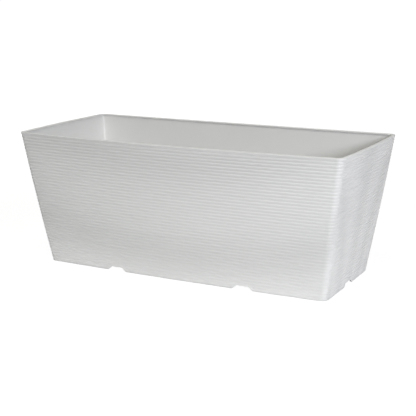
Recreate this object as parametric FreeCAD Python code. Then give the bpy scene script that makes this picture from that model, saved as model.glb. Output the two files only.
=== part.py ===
import FreeCAD, Part
import math
import os

# Rectangular planter: one tapered tub with horizontal ribs, standing on a notched skirt,
# and four soft plugs that close the drain holes in its raised floor.
# Millimetres. +Z is up, +X runs along the length, and the tub stands on z = 0.

Vector = FreeCAD.Vector
up = Vector(0, 0, 1)

# Outside of the tub. Lengths and widths are taken over the bowed walls, and each bow is how far a wall
# stands out at its middle: the side bows are those of the long walls, the end bows of the short ones.
height = 234.0
rim_length = 600.0
rim_width = 274.0
base_length = 526.0
base_width = 208.0
rim_side_bow = 6.5
base_side_bow = 5.0
rim_end_bow = 4.5
base_end_bow = 1.0
corner_radius = 11.0
corner_steps = 4

# Horizontal ribs, one above the other from the foot to the rim, with a groove between each two.
rib_count = 44
groove_depth = 0.7

# Wall, floor and rim. The wall thickens steadily towards the rim over the depth of its bead.
wall = 3.0
bead_width = 5.5
bead_depth = 7.0
rim_edge = 1.0
floor_height = 10.0
floor_thickness = 3.0
floor_round = 6.0
floor_round_steps = 2

# Skirt under the floor, with notches that let the water out.
skirt_wall = 3.0
skirt_draft = 0.2
notch_width = 37.0
notch_top_width = 21.0
notch_height = 7.0
notch_reach = 12.0
notch_spacing = 240.0

# Stiffening ribs under the floor. They end above the ground, so that water runs below them.
underside_rib = 2.5
underside_rib_ground_gap = 5.0
cross_rib_count = 5
cross_rib_spacing = 90.0
long_rib_count = 2
long_rib_spacing = 60.0

# Drain holes with their bosses, one near each long-side notch.
drain_bore = 14.0
drain_spacing_across = 126.0
boss_diameter = 23.0
boss_depth = 4.0

# Drain plugs.
plug_clearance = 0.05
plug_head_diameter = 25.0
plug_head_thickness = 2.5
tab_width = 12.0
tab_thickness = 3.5
tab_height = 10.0
tab_corner = 3.0

# How far cutting bodies run past the surfaces that they cut.
overrun = 5.0

rib_pitch = height / rib_count
floor_top = floor_height + floor_thickness


def drawn_between(base_size, rim_size, level):
    """A size at a level, on the straight line from its value at the base to its value at the rim."""
    return base_size + (rim_size - base_size) * level / height


def bow_radius(half_span, bow):
    """Radius of a wall that stands out by its bow at the middle of its span."""
    return (half_span * half_span + bow * bow) / (2 * bow)


def outline(level, inset, z):
    """Closed wire at height z: the tub's plan at the given level, moved inwards by inset.

    All four walls bow outwards. Each corner is a row of short flats on the arc that is tangent to both
    walls. That arc's centre is where the two walls' own circles meet once they are a corner radius smaller.
    """
    half_length = drawn_between(base_length, rim_length, level) / 2
    half_width = drawn_between(base_width, rim_width, level) / 2
    side_radius = bow_radius(half_length, drawn_between(base_side_bow, rim_side_bow, level))
    end_radius = bow_radius(half_width, drawn_between(base_end_bow, rim_end_bow, level))
    side_centre = Vector(0, half_width - side_radius, z)
    end_centre = Vector(half_length - end_radius, 0, z)
    between = end_centre - side_centre
    side_reach = side_radius - corner_radius
    end_reach = end_radius - corner_radius
    along = (side_reach ** 2 - end_reach ** 2 + between.Length ** 2) / (2 * between.Length)
    across = math.sqrt(side_reach ** 2 - along ** 2)
    ahead = between / between.Length
    centre = side_centre + ahead * along + Vector(ahead.y, -ahead.x, 0) * across
    first_angle = math.atan2(centre.y, centre.x - end_centre.x)
    last_angle = math.atan2(centre.y - side_centre.y, centre.x)
    corner = []
    for step in range(corner_steps + 1):
        angle = first_angle + (last_angle - first_angle) * step / corner_steps
        corner.append(centre + Vector(math.cos(angle), math.sin(angle), 0) * (corner_radius - inset))
    edges = []
    for turn in (1, -1):
        right = [Vector(point.x * turn, point.y * turn, z) for point in corner]
        left = [Vector(-point.x * turn, point.y * turn, z) for point in reversed(corner)]
        end_middle = Vector((half_length - inset) * turn, 0, z)
        side_middle = Vector(0, (half_width - inset) * turn, z)
        edges.append(Part.Arc(Vector(right[0].x, -right[0].y, z), end_middle, right[0]).toShape())
        edges.extend(Part.makeLine(start, end) for start, end in zip(right, right[1:]))
        edges.append(Part.Arc(right[-1], side_middle, left[0]).toShape())
        edges.extend(Part.makeLine(start, end) for start, end in zip(left, left[1:]))
    return Part.Wire(edges)


def stack(stations):
    """Solid through outlines given as (level, inset, z), with straight walls between them."""
    return Part.makeLoft([outline(*station) for station in stations], True, True)


def block(length, width, depth, centre_x, centre_y, bottom):
    """Box centred on centre_x and centre_y, standing on bottom."""
    corner = Vector(centre_x - length / 2, centre_y - width / 2, bottom)
    return Part.makeBox(length, width, depth, corner)


def spread(count, spacing):
    """Positions of count items at even spacing about zero."""
    return [(index - (count - 1) / 2) * spacing for index in range(count)]


def ribbed_body():
    """The tub's outer form: crests on the draft line, with a groove of even depth between each two."""
    stations = [(0, 0, 0)]
    for rib in range(rib_count):
        crest = rib_pitch * (2 * rib + 1) / 2
        stations.append((crest, 0, crest))
        if rib < rib_count - 1:
            groove = rib_pitch * (rib + 1)
            stations.append((groove, groove_depth, groove))
    stations.append((height - rim_edge, 0, height - rim_edge))
    stations.append((height, rim_edge, height))
    return stack(stations)


def soil_space():
    """Cutting body for the smooth inside, with a rounded floor edge and a wall that thickens at the rim."""
    stations = []
    for step in range(floor_round_steps + 1):
        angle = math.pi / 2 * step / floor_round_steps
        z = floor_top + floor_round * (1 - math.cos(angle))
        stations.append((z, wall + floor_round * (1 - math.sin(angle)), z))
    for drop, inset in [(bead_depth, wall), (rim_edge, bead_width), (0, bead_width - rim_edge)]:
        z = height - drop
        stations.append((z, inset, z))
    stations.append((height, bead_width - rim_edge, height + overrun))
    return stack(stations)


def drain_places():
    """Centres of the drain holes, each in line with a notch."""
    return [(x, y) for x in spread(2, notch_spacing) for y in spread(2, drain_spacing_across)]


def underside_pockets():
    """Cutting body for the recess under the floor, less the stiffening ribs and drain bosses."""
    pockets = stack([(0, skirt_wall, -overrun), (0, skirt_wall, 0),
                     (0, skirt_wall + skirt_draft, floor_height)])
    kept = []
    rib_depth = floor_height - underside_rib_ground_gap + overrun
    for x in spread(cross_rib_count, cross_rib_spacing):
        kept.append(block(underside_rib, rim_width, rib_depth, x, 0, underside_rib_ground_gap))
    for y in spread(long_rib_count, long_rib_spacing):
        kept.append(block(rim_length, underside_rib, rib_depth, 0, y, underside_rib_ground_gap))
    for x, y in drain_places():
        bottom = Vector(x, y, floor_height - boss_depth)
        kept.append(Part.makeCylinder(boss_diameter / 2, boss_depth + overrun, bottom))
    return pockets.cut(kept)


def notch():
    """Cutting body of one notch, across the skirt at the origin, with its mouth towards +Y."""
    half = notch_width / 2
    half_top = notch_top_width / 2
    profile = Part.makePolygon([
        Vector(-half, 0, -overrun), Vector(-half, 0, 0), Vector(-half_top, 0, notch_height),
        Vector(half_top, 0, notch_height), Vector(half, 0, 0), Vector(half, 0, -overrun),
        Vector(-half, 0, -overrun)])
    body = Part.Face(profile).extrude(Vector(0, notch_reach + overrun, 0))
    body.translate(Vector(0, -notch_reach, 0))
    return body


def skirt_notches():
    """Two notches in each long side and one in the middle of each short side."""
    notches = []
    for turn in (0, 180):
        for x in spread(2, notch_spacing):
            body = notch()
            body.translate(Vector(x, base_width / 2, 0))
            body.rotate(Vector(), up, turn)
            notches.append(body)
        body = notch()
        body.translate(Vector(0, base_length / 2, 0))
        body.rotate(Vector(), up, turn - 90)
        notches.append(body)
    return notches


def planter_tub():
    """The one-piece moulded tub."""
    tub = ribbed_body().cut([soil_space(), underside_pockets()])
    cuts = skirt_notches()
    for x, y in drain_places():
        bottom = Vector(x, y, floor_height - boss_depth - overrun)
        cuts.append(Part.makeCylinder(drain_bore / 2, boss_depth + floor_thickness + 2 * overrun, bottom))
    return tub.cut(cuts).Solids[0]


def drain_plug(x, y):
    """One plug: a shank in the drain hole, a round head on the floor and a flat tab to pull it by."""
    shank_length = floor_thickness + boss_depth
    shank = Part.makeCylinder(drain_bore / 2 - plug_clearance, shank_length,
                              Vector(0, 0, floor_top - shank_length))
    head = Part.makeCylinder(plug_head_diameter / 2, plug_head_thickness, Vector(0, 0, floor_top))
    half = tab_width / 2
    front = -tab_thickness / 2
    tab_top = floor_top + plug_head_thickness + tab_height
    profile = Part.makePolygon([
        Vector(-half, front, floor_top), Vector(half, front, floor_top),
        Vector(half, front, tab_top - tab_corner), Vector(half - tab_corner, front, tab_top),
        Vector(tab_corner - half, front, tab_top), Vector(-half, front, tab_top - tab_corner),
        Vector(-half, front, floor_top)])
    tab = Part.Face(profile).extrude(Vector(0, tab_thickness, 0))
    plug = shank.fuse([head, tab]).removeSplitter().Solids[0]
    plug.translate(Vector(x, y, 0))
    return plug


os.makedirs("parts", exist_ok=True)
planter_tub().exportStep("parts/planter_tub.step")
for x, y in drain_places():
    place_name = ("back" if y > 0 else "front") + "_" + ("right" if x > 0 else "left")
    drain_plug(x, y).exportStep("parts/drain_plug_" + place_name + ".step")
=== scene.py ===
import math

import bmesh
import bpy
from mathutils import Matrix, Vector


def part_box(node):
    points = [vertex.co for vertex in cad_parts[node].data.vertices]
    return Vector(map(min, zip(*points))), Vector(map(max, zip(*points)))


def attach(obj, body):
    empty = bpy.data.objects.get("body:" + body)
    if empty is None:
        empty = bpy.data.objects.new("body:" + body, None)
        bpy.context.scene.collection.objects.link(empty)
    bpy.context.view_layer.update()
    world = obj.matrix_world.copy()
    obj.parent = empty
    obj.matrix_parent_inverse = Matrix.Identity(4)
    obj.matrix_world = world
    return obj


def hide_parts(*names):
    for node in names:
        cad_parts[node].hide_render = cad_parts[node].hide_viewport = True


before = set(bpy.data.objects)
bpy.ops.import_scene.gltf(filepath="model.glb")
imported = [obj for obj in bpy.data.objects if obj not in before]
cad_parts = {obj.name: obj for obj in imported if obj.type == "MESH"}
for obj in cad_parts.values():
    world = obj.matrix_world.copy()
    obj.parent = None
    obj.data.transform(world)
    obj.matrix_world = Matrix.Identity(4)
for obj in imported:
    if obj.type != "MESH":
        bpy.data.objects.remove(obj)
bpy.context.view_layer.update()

scene = bpy.context.scene


# The planter tub: one injection moulding of white polypropylene with a satin skin. Its tapered walls,
# with horizontal ribs all round, stand on a notched skirt, and a bead stiffens the rim. The floor sits
# a little above the ground, on a grid of ribs, with a bossed drain hole behind each long-side notch.
tub_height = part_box("planter_tub")[1].z
rim_length, rim_width = 0.600, 0.274
foot_length, foot_width = 0.526, 0.208
rim_side_bow, foot_side_bow = 0.0065, 0.005
rim_end_bow, foot_end_bow = 0.0045, 0.001
rim_dip = 0.0015
wall_swell = 0.0012
corner_radius, inside_corner, floor_corner = 0.011, 0.003, 0.001
wall_thickness = 0.003
bead_width, bead_depth = 0.0055, 0.0055
floor_underside, floor_top = 0.010, 0.013
floor_fillet = 0.006
skirt_draft = 0.0002
foot_edge = 0.0004

rib_count = 44
rows_per_rib = 12
rows_in_rim_edge = rows_per_rib // 4
rib_pitch = tub_height / rib_count
groove_depth = 0.0007
rim_edge = rib_pitch * rows_in_rim_edge / rows_per_rib
shoulder_height = tub_height - rim_edge

# Facets along a long side, a short side, a corner, a rounded edge and each part of the inside's height.
side_steps, end_steps, corner_steps = 20, 12, 10
edge_steps, inside_steps = 5, 8

# A share of the height times the rest of it is a quarter at the middle. This makes the swell whole there.
middle_to_one = 4


def at_level(foot_size, rim_size, level):
    """A size at a level, on the straight line from its value at the foot to its value at the rim."""
    return foot_size + (rim_size - foot_size) * level / tub_height


def bow_radius(half_span, bow):
    """Radius of a wall that stands out by its bow at the middle of its span."""
    return (half_span ** 2 + bow ** 2) / (2 * bow)


def tub_plan(level, inset, bend):
    """Plan of the tub at a level, moved inwards by inset and with corners of radius bend, as pairs of a
    point and its outward direction."""
    half_length = at_level(foot_length, rim_length, level) / 2
    half_width = at_level(foot_width, rim_width, level) / 2
    side_radius = bow_radius(half_length, at_level(foot_side_bow, rim_side_bow, level))
    end_radius = bow_radius(half_width, at_level(foot_end_bow, rim_end_bow, level))
    side_centre = Vector((0, half_width - side_radius))
    end_centre = Vector((half_length - end_radius, 0))
    # The corner's centre is where the two walls' own circles meet once they are its radius smaller.
    side_reach, end_reach = side_radius - inset - bend, end_radius - inset - bend
    between = end_centre - side_centre
    along = (side_reach ** 2 - end_reach ** 2 + between.length ** 2) / (2 * between.length)
    across = math.sqrt(side_reach ** 2 - along ** 2)
    ahead = between.normalized()
    corner_centre = side_centre + ahead * along + Vector((ahead.y, -ahead.x)) * across
    first_turn = math.atan2(corner_centre.y, corner_centre.x - end_centre.x)
    last_turn = math.atan2(corner_centre.y - side_centre.y, corner_centre.x)
    quarter = []
    for centre, radius, start, stop, steps in (
            (end_centre, end_radius - inset, 0, first_turn, end_steps // 2),
            (corner_centre, bend, first_turn, last_turn, corner_steps),
            (side_centre, side_radius - inset, last_turn, math.pi / 2, side_steps // 2)):
        for step in range(steps):
            angle = start + (stop - start) * step / steps
            outward = Vector((math.cos(angle), math.sin(angle)))
            quarter.append((centre + outward * radius, outward))
    half = quarter + [(Vector((0, half_width - inset)), Vector((0, 1)))]
    half += [(Vector((-point.x, point.y)), Vector((-out.x, out.y))) for point, out in reversed(quarter)]
    ring = half[:-1] + [(-point, -out) for point, out in half[:-1]]
    swell_share = min(level / shoulder_height, 1)
    swell = wall_swell * middle_to_one * swell_share * (1 - swell_share)
    return [(point + out * swell, out) for point, out in ring]


columns = len(tub_plan(0, 0, corner_radius))
plain = bmesh.new()
outward_layer = plain.verts.layers.float_vector.new("outward")


def ring_at(z, inset, level, bend=None):
    """One closed ring of points on the tub's plan, each with its outward direction. The walls dip a little
    towards the middle of the long sides, more so the nearer they are to the rim."""
    ring = []
    dip = rim_dip * max(z - floor_top, 0) / (tub_height - floor_top)
    for point, outward in tub_plan(level, inset, corner_radius - inset if bend is None else bend):
        end_share = 2 * point.x / rim_length
        vert = plain.verts.new((point.x, point.y, z - dip * (1 - end_share ** 2)))
        vert[outward_layer] = (outward.x, outward.y, 0)
        ring.append(vert)
    return ring


def skin(rings):
    """Faces between each ring of points and the next."""
    for lower, upper in zip(rings, rings[1:]):
        for i in range(columns):
            j = (i + 1) % columns
            plain.faces.new((lower[i], lower[j], upper[j], upper[i]))


# The smooth faces of the moulding: over the rim, down the inside and across the floor, then the underside.
# The gap between the foot and the shoulder is left for the ribs, so these two rings come first, where the
# rib tree looks for them.
foot = ring_at(0, 0, 0)
shoulder = ring_at(shoulder_height, 0, shoulder_height)
inner = [shoulder]
for step in range(1, edge_steps + 1):
    angle = math.pi / 2 * step / edge_steps
    z = tub_height - rim_edge * (1 - math.sin(angle))
    inner.append(ring_at(z, rim_edge * (1 - math.cos(angle)), z))
for step in range(edge_steps + 1):
    angle = math.pi / 2 * step / edge_steps
    z = tub_height - rim_edge * (1 - math.cos(angle))
    inner.append(ring_at(z, bead_width - rim_edge * (1 - math.sin(angle)), z))
for step in range(1, inside_steps + 1):
    taper_share = (1 - step / inside_steps) ** 2
    z = tub_height - rim_edge - (bead_depth - rim_edge) * step / inside_steps
    bend = inside_corner + (corner_radius - bead_width - inside_corner) * taper_share
    inner.append(ring_at(z, wall_thickness + (bead_width - wall_thickness) * taper_share, z, bend))
bead_end, fillet_top = inner[-1][0].co.z, floor_top + floor_fillet
for step in range(1, inside_steps + 1):
    z = bead_end + (fillet_top - bead_end) * step / inside_steps
    inner.append(ring_at(z, wall_thickness, z, inside_corner))
for step in range(1, edge_steps + 1):
    angle = math.pi / 2 * step / edge_steps
    z = floor_top + floor_fillet * (1 - math.sin(angle))
    bend = inside_corner + (floor_corner - inside_corner) * step / edge_steps
    inner.append(ring_at(z, wall_thickness + floor_fillet * (1 - math.cos(angle)), z, bend))
skin(inner)
plain.faces.new(inner[-1])
under = [ring_at(floor_underside, wall_thickness + skirt_draft, 0), ring_at(foot_edge, wall_thickness, 0),
         ring_at(0, wall_thickness - foot_edge, 0), foot]
skin(under)
plain.faces.new(list(reversed(under[0])))


def new_piece(name, mesh):
    """A scene object at the origin, from a bmesh."""
    data = bpy.data.meshes.new(name)
    mesh.to_mesh(data)
    mesh.free()
    piece = bpy.data.objects.new(name, data)
    scene.collection.objects.link(piece)
    return piece


def settle(piece):
    """Turns what the piece's modifiers make into its plain mesh."""
    made = bpy.data.meshes.new_from_object(piece.evaluated_get(bpy.context.evaluated_depsgraph_get()))
    piece.modifiers.clear()
    piece.data = made


def combine(piece, other, operation):
    """Joins another closed body to the piece, or cuts it out, and removes the other body."""
    step = piece.modifiers.new(operation.lower(), "BOOLEAN")
    step.operation = operation
    step.solver = "EXACT"
    step.object = other
    settle(piece)
    bpy.data.objects.remove(other)


tub = new_piece("planter_tub_body", plain)
white_plastic = bpy.data.materials.new("white satin polypropylene")

# The ribbed wall is a sheet of rows and columns between the foot ring and the shoulder ring. Each row
# moves in by the groove depth between two crests, and out a little where the walls swell. Counted in ribs
# from the foot, each crest is at the middle of its rib, and no groove lies past the two end crests.
first_crest, last_crest = 0.5, rib_count - 0.5
crest_roundness = 1.6
seam_gap = 0.00001
ribs = bpy.data.node_groups.new("Ribbed Wall", "GeometryNodeTree")
ribs.interface.new_socket("Geometry", in_out="INPUT", socket_type="NodeSocketGeometry")
rib_sizes = {
    "Columns": ("NodeSocketInt", columns),
    "Rows": ("NodeSocketInt", rib_count * rows_per_rib - rows_in_rim_edge),
    "Rows per Rib": ("NodeSocketInt", rows_per_rib),
    "First Crest": ("NodeSocketFloat", first_crest),
    "Last Crest": ("NodeSocketFloat", last_crest),
    "Groove Depth": ("NodeSocketFloat", groove_depth),
    "Crest Roundness": ("NodeSocketFloat", crest_roundness),
    "Wall Swell": ("NodeSocketFloat", wall_swell),
    "Plastic": ("NodeSocketMaterial", white_plastic),
}
rib_sockets = {name: ribs.interface.new_socket(name, in_out="INPUT", socket_type=kind)
               for name, (kind, _) in rib_sizes.items()}
ribs.interface.new_socket("Geometry", in_out="OUTPUT", socket_type="NodeSocketGeometry")


def add_node(tree, kind, inputs=None, **settings):
    """A node with its settings, each input given as a value or as another node's output."""
    made = tree.nodes.new(kind)
    for key, value in settings.items():
        setattr(made, key, value)
    for key, value in (inputs or {}).items():
        if isinstance(value, bpy.types.NodeSocket):
            tree.links.new(value, made.inputs[key])
        else:
            made.inputs[key].default_value = value
    return made


def rib_math(operation, *values):
    """The result of a Math node in the rib tree."""
    return add_node(ribs, "ShaderNodeMath", dict(enumerate(values)), operation=operation).outputs[0]


def rib_vector(operation, first, second):
    """The result of a Vector Math node in the rib tree. To scale a vector, the second value is a number."""
    second_socket = "Scale" if operation == "SCALE" else 1
    inputs = {0: first, second_socket: second}
    return add_node(ribs, "ShaderNodeVectorMath", inputs, operation=operation).outputs[0]


entry = add_node(ribs, "NodeGroupInput")
given = {name: entry.outputs[name] for name in rib_sizes}
smooth_faces = entry.outputs["Geometry"]
# The sheet lies about its own middle, so half its size is added to count rows and columns from an edge.
sheet_size = 1.0
half_sheet = sheet_size / 2
sheet = add_node(ribs, "GeometryNodeMeshGrid", {
    "Size X": sheet_size, "Size Y": sheet_size,
    "Vertices X": rib_math("ADD", given["Columns"], 1.0), "Vertices Y": rib_math("ADD", given["Rows"], 1.0)})
place = add_node(ribs, "ShaderNodeSeparateXYZ", {0: add_node(ribs, "GeometryNodeInputPosition").outputs[0]})
across = rib_math("MULTIPLY", rib_math("ADD", place.outputs["X"], half_sheet), given["Columns"])
column = rib_math("MODULO", rib_math("ROUND", across), given["Columns"])
upwards = rib_math("MULTIPLY", rib_math("ADD", place.outputs["Y"], half_sheet), given["Rows"])
row = rib_math("ROUND", upwards)
rise = rib_math("DIVIDE", row, given["Rows"])


def on_ring(value, index):
    """A vector read from one point of the smooth faces, by its index."""
    return add_node(ribs, "GeometryNodeSampleIndex", {
        "Geometry": smooth_faces, "Value": value, "Index": index},
        data_type="FLOAT_VECTOR", domain="POINT").outputs[0]


ring_point = add_node(ribs, "GeometryNodeInputPosition").outputs[0]
ring_outward = add_node(ribs, "GeometryNodeInputNamedAttribute", {"Name": "outward"},
                        data_type="FLOAT_VECTOR").outputs["Attribute"]
foot_point = on_ring(ring_point, column)
shoulder_point = on_ring(ring_point, rib_math("ADD", column, given["Columns"]))
outward = on_ring(ring_outward, column)
climb = rib_vector("SUBTRACT", shoulder_point, foot_point)
wall_point = rib_vector("ADD", foot_point, rib_vector("SCALE", climb, rise))

# The wave runs from 1 at the floor of a groove to 0 at a crest.
ribs_passed = rib_math("DIVIDE", row, given["Rows per Rib"])
turn_passed = rib_math("MULTIPLY", ribs_passed, 2 * math.pi)
wave = rib_math("MULTIPLY_ADD", rib_math("COSINE", turn_passed), 0.5, 0.5)
trough = rib_math("POWER", wave, given["Crest Roundness"])
above_first_crest = rib_math("GREATER_THAN", ribs_passed, given["First Crest"])
below_last_crest = rib_math("LESS_THAN", ribs_passed, given["Last Crest"])
groove = rib_math("MULTIPLY", trough, rib_math("MULTIPLY", above_first_crest, below_last_crest))
rise_and_rest = rib_math("MULTIPLY", rise, rib_math("SUBTRACT", 1.0, rise))
swelling = rib_math("MULTIPLY", rise_and_rest, float(middle_to_one))
push = rib_math("SUBTRACT", rib_math("MULTIPLY", swelling, given["Wall Swell"]),
                rib_math("MULTIPLY", groove, given["Groove Depth"]))
ribbed_point = rib_vector("ADD", wall_point, rib_vector("SCALE", outward, push))

moved = add_node(ribs, "GeometryNodeSetPosition", {
    "Geometry": sheet.outputs["Mesh"], "Position": ribbed_point})
marked = add_node(ribs, "GeometryNodeStoreNamedAttribute", {
    "Geometry": moved.outputs[0], "Name": "groove", "Value": groove}, data_type="FLOAT", domain="POINT")
whole = add_node(ribs, "GeometryNodeJoinGeometry")
ribs.links.new(marked.outputs[0], whole.inputs[0])
ribs.links.new(smooth_faces, whole.inputs[0])
sewn = add_node(ribs, "GeometryNodeMergeByDistance", {"Geometry": whole.outputs[0], "Distance": seam_gap})
real = add_node(ribs, "GeometryNodeRealizeInstances", {"Geometry": sewn.outputs[0]})
coated = add_node(ribs, "GeometryNodeSetMaterial", {
    "Geometry": real.outputs[0], "Material": given["Plastic"]})
add_node(ribs, "NodeGroupOutput", {"Geometry": coated.outputs[0]})

ribbing = tub.modifiers.new("ribbed wall", "NODES")
ribbing.node_group = ribs
for name, (_, value) in rib_sizes.items():
    ribbing[rib_sockets[name].identifier] = value
settle(tub)

# Stiffening ribs and drain bosses under the floor, rooted a little way into it, then the drain holes and
# the notches in the skirt. The ribs end above the ground, so that water runs out below them.
underside_rib, rib_clear_of_ground, root = 0.0025, 0.005, 0.0005
cross_rib_spacing, long_rib_spacing = 0.090, 0.060
cross_rib_places = [cross_rib_spacing * step for step in (-2, -1, 0, 1, 2)]
long_rib_places = [long_rib_spacing / 2, -long_rib_spacing / 2]
boss_radius, boss_bottom = 0.0115, 0.006
drain_radius = 0.007
plug_places = {name[len("drain_plug_"):]: (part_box(name)[0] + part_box(name)[1]) / 2
               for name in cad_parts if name.startswith("drain_plug_")}
notch_half_width, notch_half_top, notch_height, notch_reach = 0.0185, 0.0105, 0.007, 0.012
notch_corner, notch_places = 0.0025, (0.120, -0.120)
overrun = 0.005


def box_between(low, high):
    """A closed box between two corners."""
    mesh = bmesh.new()
    bmesh.ops.create_cube(mesh, size=1)
    low, high = Vector(low), Vector(high)
    middle = Matrix.Translation((low + high) / 2)
    bmesh.ops.transform(mesh, matrix=middle @ Matrix.Diagonal((high - low).to_4d()), verts=mesh.verts)
    return new_piece("box", mesh)


def floor_rib(reach_x, reach_y, x=0, y=0):
    """One straight stiffening rib under the floor, centred on (x, y)."""
    return box_between((x - reach_x, y - reach_y, rib_clear_of_ground),
                       (x + reach_x, y + reach_y, floor_underside + root))


def upright_cylinder(x, y, bottom, top, radius, sides=48):
    """A closed upright cylinder."""
    mesh = bmesh.new()
    middle = Matrix.Translation((x, y, (bottom + top) / 2))
    bmesh.ops.create_cone(mesh, cap_ends=True, segments=sides, radius1=radius, radius2=radius,
                          depth=top - bottom, matrix=middle)
    return new_piece("cylinder", mesh)


def rounded_outline(corners, steps=5):
    """Points of an outline whose corners are given as (x, z, radius)."""
    outline = []
    for index, (x, z, radius) in enumerate(corners):
        corner = Vector((x, z))
        before = (Vector(corners[index - 1][:2]) - corner).normalized()
        after = (Vector(corners[(index + 1) % len(corners)][:2]) - corner).normalized()
        if radius == 0:
            outline.append(corner)
            continue
        half_angle = before.angle(after) / 2
        centre = corner + (before + after).normalized() * radius / math.sin(half_angle)
        first = (corner + before * radius / math.tan(half_angle) - centre).normalized()
        last = (corner + after * radius / math.tan(half_angle) - centre).normalized()
        outline.extend(centre + first.slerp(last, step / steps) * radius for step in range(steps + 1))
    return outline


def prism(outline, front, back):
    """A bmesh of the body between an outline in x and z at y = front, and the same one at y = back."""
    mesh = bmesh.new()
    near = [mesh.verts.new((x, front, z)) for x, z in outline]
    far = [mesh.verts.new((x, back, z)) for x, z in outline]
    mesh.faces.new(near)
    mesh.faces.new(list(reversed(far)))
    for i in range(len(outline)):
        mesh.faces.new((near[i - 1], far[i - 1], far[i], near[i]))
    bmesh.ops.recalc_face_normals(mesh, faces=mesh.faces)
    return mesh


def notch_cutter(x, y, turn):
    """The space of one notch through the skirt, at (x, y), with its mouth turned from -Y."""
    outline = rounded_outline([
        (-notch_half_width, -overrun, 0), (notch_half_width, -overrun, 0), (notch_half_width, 0, 0),
        (notch_half_top, notch_height, notch_corner), (-notch_half_top, notch_height, notch_corner),
        (-notch_half_width, 0, 0)])
    mesh = prism(outline, -overrun, notch_reach)
    mesh.transform(Matrix.Translation((x, y, 0)) @ Matrix.Rotation(math.radians(turn), 4, "Z"))
    return new_piece("notch", mesh)


half_rib = underside_rib / 2
long_rib_reach = foot_length / 2 - wall_thickness / 2
side_radius_at_foot = bow_radius(foot_length / 2, foot_side_bow)
grid = floor_rib(long_rib_reach, half_rib, y=long_rib_places[0])
for y in long_rib_places[1:]:
    combine(grid, floor_rib(long_rib_reach, half_rib, y=y), "UNION")
for x in cross_rib_places:
    # The skirt bows, so a rib further from the middle is a little shorter.
    skirt_set_back = side_radius_at_foot - math.sqrt(side_radius_at_foot ** 2 - x ** 2)
    cross_rib_reach = foot_width / 2 - skirt_set_back - wall_thickness / 2
    combine(grid, floor_rib(half_rib, cross_rib_reach, x=x), "UNION")
for centre in plug_places.values():
    boss = upright_cylinder(centre.x, centre.y, boss_bottom, floor_underside + root, boss_radius)
    combine(grid, boss, "UNION")
combine(tub, grid, "UNION")
for centre in plug_places.values():
    bore = upright_cylinder(centre.x, centre.y, boss_bottom - overrun, floor_top + overrun, drain_radius)
    combine(tub, bore, "DIFFERENCE")
for side, turn in ((-1, 0), (1, 180)):
    for x in notch_places:
        combine(tub, notch_cutter(x, side * foot_width / 2, turn), "DIFFERENCE")
    combine(tub, notch_cutter(-side * foot_length / 2, 0, turn + 90), "DIFFERENCE")


def soften(piece, crease):
    """Smooth shading, with edges sharper than the crease angle, in degrees, kept crisp."""
    piece.data.shade_smooth()
    piece.data.set_sharp_from_angle(angle=math.radians(crease))


soften(tub, crease=38)
tub.data.attributes.remove(tub.data.attributes["outward"])

# The satin skin that a textured mould leaves: fine grain, a faint cloudiness in tone, and a little
# settled dust where the surface faces up.
skin_group = bpy.data.node_groups.new("Moulded Skin", "ShaderNodeTree")
skin_inputs = {
    "Colour": "NodeSocketColor", "Dust Colour": "NodeSocketColor", "Dust": "NodeSocketFloat",
    "Cloudiness": "NodeSocketFloat", "Grain per Metre": "NodeSocketFloat", "Roughness": "NodeSocketFloat",
    "Roughness Spread": "NodeSocketFloat"}
skin_outputs = {"Colour": "NodeSocketColor", "Roughness": "NodeSocketFloat", "Grain": "NodeSocketFloat"}
for name, kind in skin_inputs.items():
    skin_group.interface.new_socket(name, in_out="INPUT", socket_type=kind)
for name, kind in skin_outputs.items():
    skin_group.interface.new_socket(name, in_out="OUTPUT", socket_type=kind)
clouds_per_metre, dust_per_metre = 9.0, 160.0
noise_middle = 0.5
# Dust begins where the surface's upward share passes the first value, and lies fully from the second on.
dust_starts, dust_full = 0.55, 0.95
speck_starts, speck_full = 0.42, 0.72
dust_roughening = 0.4
skin_in = add_node(skin_group, "NodeGroupInput").outputs
at = add_node(skin_group, "ShaderNodeTexCoord").outputs["Object"]


def skin_math(operation, *values):
    """The result of a Math node in the skin group."""
    return add_node(skin_group, "ShaderNodeMath", dict(enumerate(values)), operation=operation).outputs[0]


# A Mix node has sockets for every kind of data. These are the numbers of the ones for colours.
mix_first, mix_second, mix_result = 6, 7, 2


def colour_between(tree, share, first, second):
    """A colour between two colours, by a share from 0 to 1."""
    mix = add_node(tree, "ShaderNodeMix", {0: share, mix_first: first, mix_second: second},
                   data_type="RGBA")
    return mix.outputs[mix_result]


def skin_noise(per_metre, detail, roughness):
    """Noise over the surface in the skin group."""
    return add_node(skin_group, "ShaderNodeTexNoise", {
        "Vector": at, "Scale": per_metre, "Detail": detail, "Roughness": roughness}).outputs[0]


grain = skin_noise(skin_in["Grain per Metre"], detail=3.0, roughness=0.6)
clouds = skin_noise(clouds_per_metre, detail=4.0, roughness=0.55)
specks = skin_noise(dust_per_metre, detail=5.0, roughness=0.7)
facing = add_node(skin_group, "ShaderNodeSeparateXYZ", {
    0: add_node(skin_group, "ShaderNodeNewGeometry").outputs["Normal"]}).outputs["Z"]
level_share = add_node(skin_group, "ShaderNodeMapRange", {
    "Value": facing, "From Min": dust_starts, "From Max": dust_full},
    interpolation_type="SMOOTHSTEP").outputs[0]
speck_share = add_node(skin_group, "ShaderNodeMapRange", {
    "Value": specks, "From Min": speck_starts, "From Max": speck_full}).outputs[0]
dust_share = skin_math("MULTIPLY", skin_math("MULTIPLY", level_share, speck_share), skin_in["Dust"])
cloud_share = skin_math("MULTIPLY", skin_math("SUBTRACT", clouds, noise_middle), skin_in["Cloudiness"])
tone = add_node(skin_group, "ShaderNodeHueSaturation", {
    "Value": skin_math("ADD", 1.0, cloud_share), "Color": skin_in["Colour"]}).outputs[0]
spread = skin_math("MULTIPLY", skin_math("SUBTRACT", grain, noise_middle), skin_in["Roughness Spread"])
roughened = skin_math("ADD", spread, skin_math("MULTIPLY", dust_share, dust_roughening))
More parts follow.
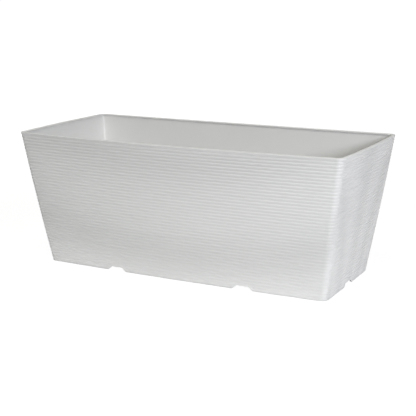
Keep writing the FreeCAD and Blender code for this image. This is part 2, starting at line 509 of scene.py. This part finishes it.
roughness = skin_math("ADD", skin_in["Roughness"], roughened)
dusted = colour_between(skin_group, dust_share, tone, skin_in["Dust Colour"])
add_node(skin_group, "NodeGroupOutput", {"Colour": dusted, "Roughness": roughness, "Grain": grain})

plastic_white = (0.86, 0.86, 0.855, 1)
# The colour for the grooves is painted shade: a darker white that stands in for the shade falling in the
# grooves.
painted_groove_shade = (0.77, 0.77, 0.765, 1)
pale_dust = (0.56, 0.54, 0.50, 1)


def moulded_surface(material, colour, grain_depth, ior, **values):
    """Gives a material the moulded skin, and returns the node of that skin."""
    material.use_nodes = True
    tree = material.node_tree
    surface = tree.nodes["Principled BSDF"]
    surface.inputs["IOR"].default_value = ior
    moulded = add_node(tree, "ShaderNodeGroup", node_tree=skin_group)
    for name, value in {"Colour": colour, **values}.items():
        moulded.inputs[name.replace("_", " ")].default_value = value
    tree.links.new(moulded.outputs["Colour"], surface.inputs["Base Color"])
    tree.links.new(moulded.outputs["Roughness"], surface.inputs["Roughness"])
    bump = add_node(tree, "ShaderNodeBump", {
        "Height": moulded.outputs["Grain"], "Strength": 1.0, "Distance": grain_depth})
    tree.links.new(bump.outputs[0], surface.inputs["Normal"])
    return moulded


plastic_skin = moulded_surface(
    white_plastic, plastic_white, grain_depth=0.00003, ior=1.49, Dust_Colour=pale_dust, Dust=0.06,
    Cloudiness=0.02, Grain_per_Metre=1400.0, Roughness=0.46, Roughness_Spread=0.10)
plastic_tree = white_plastic.node_tree
# Painted shade in the grooves: the colour goes from the plastic's white on the crests to the darker painted
# shade at the floor of each groove. This adds to the shade that the grooves' own depth gives.
in_groove = add_node(plastic_tree, "ShaderNodeAttribute", attribute_name="groove").outputs["Fac"]
tone_with_painted_groove_shade = colour_between(plastic_tree, in_groove, plastic_white, painted_groove_shade)
plastic_tree.links.new(tone_with_painted_groove_shade, plastic_skin.inputs["Colour"])

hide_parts("planter_tub")
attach(tub, "tub")


# The drain plugs: soft black rubber mouldings pushed into the drain holes from inside. A round head
# seals on the floor, a shank with a tapered end fills the hole, and a flat tab with finger ridges on
# both faces gives something to pull by.
shank_radius, shank_bottom = 0.00695, 0.006
head_radius, head_thickness, head_edge = 0.0125, 0.0025, 0.0008
lead_in = 0.0008
tab_half_width, tab_height, tab_thickness = 0.006, 0.010, 0.0035
tab_corner, tab_edge = 0.003, 0.0006
ridge_count, ridge_pitch, ridge_radius, ridge_half_length = 3, 0.0021, 0.0005, 0.0038
plug_sides, tab_corner_steps = 64, 8
rubber_black = (0.022, 0.022, 0.023, 1)
black_rubber = bpy.data.materials.new("black rubber")


def turned(profile, sides):
    """A bmesh of the body turned about the vertical axis from a profile of (radius, z) points, given from
    the bottom up."""
    mesh = bmesh.new()
    angles = [2 * math.pi * i / sides for i in range(sides)]
    rings = [[mesh.verts.new((radius * math.cos(angle), radius * math.sin(angle), z)) for angle in angles]
             for radius, z in profile]
    for lower, upper in zip(rings, rings[1:]):
        for i in range(sides):
            mesh.faces.new((lower[i - 1], lower[i], upper[i], upper[i - 1]))
    mesh.faces.new(list(reversed(rings[0])))
    mesh.faces.new(rings[-1])
    return mesh


def plug_body():
    """The turned part of a plug, with rounded edges, standing in its hole at the origin."""
    head_top = floor_top + head_thickness
    profile = [(shank_radius - lead_in, shank_bottom), (shank_radius, shank_bottom + 2 * lead_in),
               (shank_radius, floor_top), (head_radius - head_edge / 2, floor_top)]
    for step in range(edge_steps + 1):
        angle = math.pi / 2 * step / edge_steps
        profile.append((head_radius - head_edge * (1 - math.cos(angle)),
                        head_top - head_edge * (1 - math.sin(angle))))
    return new_piece("plug", turned(profile, plug_sides))


def plug_tab():
    """The flat pull tab, with rounded corners and edges, rooted in the head."""
    top = floor_top + head_thickness + tab_height
    bottom = floor_top + head_thickness / 2
    outline = rounded_outline([
        (-tab_half_width, bottom, 0), (tab_half_width, bottom, 0),
        (tab_half_width, top, tab_corner), (-tab_half_width, top, tab_corner)], steps=tab_corner_steps)
    mesh = prism(outline, -tab_thickness / 2, tab_thickness / 2)
    face_edges = [edge for edge in mesh.edges if abs(edge.verts[0].co.y - edge.verts[1].co.y) < tab_edge]
    bmesh.ops.bevel(mesh, geom=face_edges, offset=tab_edge, segments=3, profile=0.5, affect="EDGES")
    return new_piece("tab", mesh)


def finger_ridge(face, z):
    """One round-ended finger ridge across a face of the tab: a ball whose two halves are drawn apart."""
    mesh = bmesh.new()
    bmesh.ops.create_uvsphere(mesh, u_segments=16, v_segments=10, radius=ridge_radius)
    middle_band = ridge_radius / 100
    for vert in mesh.verts:
        if abs(vert.co.x) > middle_band:
            vert.co.x += math.copysign(ridge_half_length, vert.co.x)
    bmesh.ops.translate(mesh, vec=(0, face * tab_thickness / 2, z), verts=mesh.verts)
    return new_piece("ridge", mesh)


plug = plug_body()
combine(plug, plug_tab(), "UNION")
for face in (-1, 1):
    for step in range(ridge_count):
        ridge_z = floor_top + head_thickness + tab_height - tab_corner - ridge_pitch * step
        combine(plug, finger_ridge(face, ridge_z), "UNION")
soften(plug, crease=40)
plug.data.materials.clear()
plug.data.materials.append(black_rubber)
moulded_surface(
    black_rubber, rubber_black, grain_depth=0.00004, ior=1.52, Dust_Colour=pale_dust, Dust=0.10,
    Cloudiness=0.25, Grain_per_Metre=1800.0, Roughness=0.62, Roughness_Spread=0.15)

for place_name, centre in plug_places.items():
    fitted = bpy.data.objects.new("plug_" + place_name, plug.data.copy())
    fitted.data.transform(Matrix.Translation((centre.x, centre.y, 0)))
    scene.collection.objects.link(fitted)
    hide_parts("drain_plug_" + place_name)
    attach(fitted, "plug_" + place_name)
bpy.data.objects.remove(plug)


# The studio: a white floor that stays white to the camera but keeps a faint shadow. The key lamp stands at
# the front right, somewhat higher than the tub. A fill hangs overhead, towards the front. The pale floor
# throws light up at the foot of the walls, and a low lamp shows up the back.
def shows_white(tree):
    """Mask of the rays that see the background as plain white: camera, glossy and transmission rays."""
    rays = add_node(tree, "ShaderNodeLightPath").outputs
    seen = add_node(tree, "ShaderNodeMath", {0: rays["Is Camera Ray"], 1: rays["Is Glossy Ray"]},
                    operation="MAXIMUM").outputs[0]
    return add_node(tree, "ShaderNodeMath", {0: seen, 1: rays["Is Transmission Ray"]},
                    operation="MAXIMUM").outputs[0]


pure_white, floor_white = (1, 1, 1, 1), (0.85, 0.85, 0.85, 1)
floor_reach, floor_glow = 30.0, 1.2
# The glow's share grows with distance, so the floor is as white far off as it is under the lamps.
near_reach, near_glow_share = 0.6, 0.78
far_reach, far_glow_share = 1.5, 0.87
surround_light = 0.06

floor_sheet = bmesh.new()
bmesh.ops.create_grid(floor_sheet, x_segments=1, y_segments=1, size=floor_reach)
floor = new_piece("studio_floor", floor_sheet)
floor_paint = bpy.data.materials.new("white studio floor")
floor_paint.use_nodes = True
floor_tree = floor_paint.node_tree
floor_tree.nodes.clear()
matt = add_node(floor_tree, "ShaderNodeBsdfDiffuse", {"Color": floor_white})
glow = add_node(floor_tree, "ShaderNodeEmission", {"Color": pure_white, "Strength": floor_glow})
floor_point = add_node(floor_tree, "ShaderNodeTexCoord").outputs["Object"]
distance_out = add_node(floor_tree, "ShaderNodeVectorMath", {0: floor_point},
                        operation="LENGTH").outputs["Value"]
share_here = add_node(floor_tree, "ShaderNodeMapRange", {
    "Value": distance_out, "From Min": near_reach, "From Max": far_reach,
    "To Min": near_glow_share, "To Max": far_glow_share}).outputs[0]
glow_share = add_node(floor_tree, "ShaderNodeMath", {0: shows_white(floor_tree), 1: share_here},
                      operation="MULTIPLY").outputs[0]
blend = add_node(floor_tree, "ShaderNodeMixShader", {
    0: glow_share, 1: matt.outputs[0], 2: glow.outputs[0]})
add_node(floor_tree, "ShaderNodeOutputMaterial", {"Surface": blend.outputs[0]})
floor.data.materials.append(floor_paint)

world = bpy.data.worlds.new("pale surround")
world.use_nodes = True
scene.world = world
surround = world.node_tree.nodes["Background"]
surround.inputs["Color"].default_value = pure_white
surround_strength = add_node(world.node_tree, "ShaderNodeMapRange", {
    "Value": shows_white(world.node_tree), "To Min": surround_light, "To Max": 1.0}).outputs[0]
world.node_tree.links.new(surround_strength, surround.inputs["Strength"])


def soft_lamp(name, place, aim, width, height, watts, colour=(1, 1, 1)):
    """A flat area lamp at a place, turned towards a point."""
    lamp = bpy.data.lights.new(name, "AREA")
    lamp.shape = "RECTANGLE"
    lamp.size = width
    lamp.size_y = height
    lamp.energy = watts
    lamp.color = colour
    holder = bpy.data.objects.new(name, lamp)
    holder.location = place
    holder.rotation_euler = (Vector(aim) - Vector(place)).to_track_quat("-Z", "Y").to_euler()
    scene.collection.objects.link(holder)
    return holder


tub_aim, floor_aim, straight_up = (0.1, 0, 0.1), (0, 0, 0), (0, 0, 1)
just_above_floor, half_tub_height = 0.0015, 0.115
cool_white, warm_white = (0.935, 0.95, 1), (1, 0.985, 0.90)
soft_lamp("key lamp", (1.78, -1.37, 0.84), tub_aim, width=0.4, height=0.4, watts=25.2, colour=cool_white)
soft_lamp("overhead fill", (0.1, -0.72, 1.85), floor_aim, width=0.8, height=0.8, watts=12.4,
          colour=warm_white)
bounce = soft_lamp("table bounce", (0, 0, just_above_floor), straight_up, width=1.0, height=1.0, watts=0.56)
bounce.visible_camera = False
# This one stands lower than the rim, so it shows up the back without reaching over the rim.
soft_lamp("low back fill", (-1.6, 1.7, half_tub_height), (-0.1, 0, half_tub_height), width=1.6, height=0.2,
          watts=18)

# The camera stands where the photograph was taken from, and leans by the photograph's small tilt.
frame_pixels, focal_pixels = 416, 991.08
sensor_width = 36
camera_distance = 1.72045
camera_turn, camera_rise, camera_lean = math.radians(27.754), math.radians(13.203), math.radians(-0.319)
looked_at = Vector((0.00437, 0, 0.10259))

camera_data = bpy.data.cameras.new("camera")
camera_data.sensor_width = sensor_width
camera_data.lens = focal_pixels / frame_pixels * sensor_width
back = Vector((math.sin(camera_turn) * math.cos(camera_rise),
               -math.cos(camera_turn) * math.cos(camera_rise), math.sin(camera_rise)))
level_right = Vector((math.cos(camera_turn), math.sin(camera_turn), 0))
level_up = back.cross(level_right)
right = level_right * math.cos(camera_lean) + level_up * math.sin(camera_lean)
up = level_up * math.cos(camera_lean) - level_right * math.sin(camera_lean)
camera = bpy.data.objects.new("camera", camera_data)
camera.matrix_world = Matrix.Translation(looked_at + back * camera_distance) @ Matrix(
    (right, up, back)).transposed().to_4x4()
scene.collection.objects.link(camera)
scene.camera = camera
scene.view_settings.view_transform = "Standard"
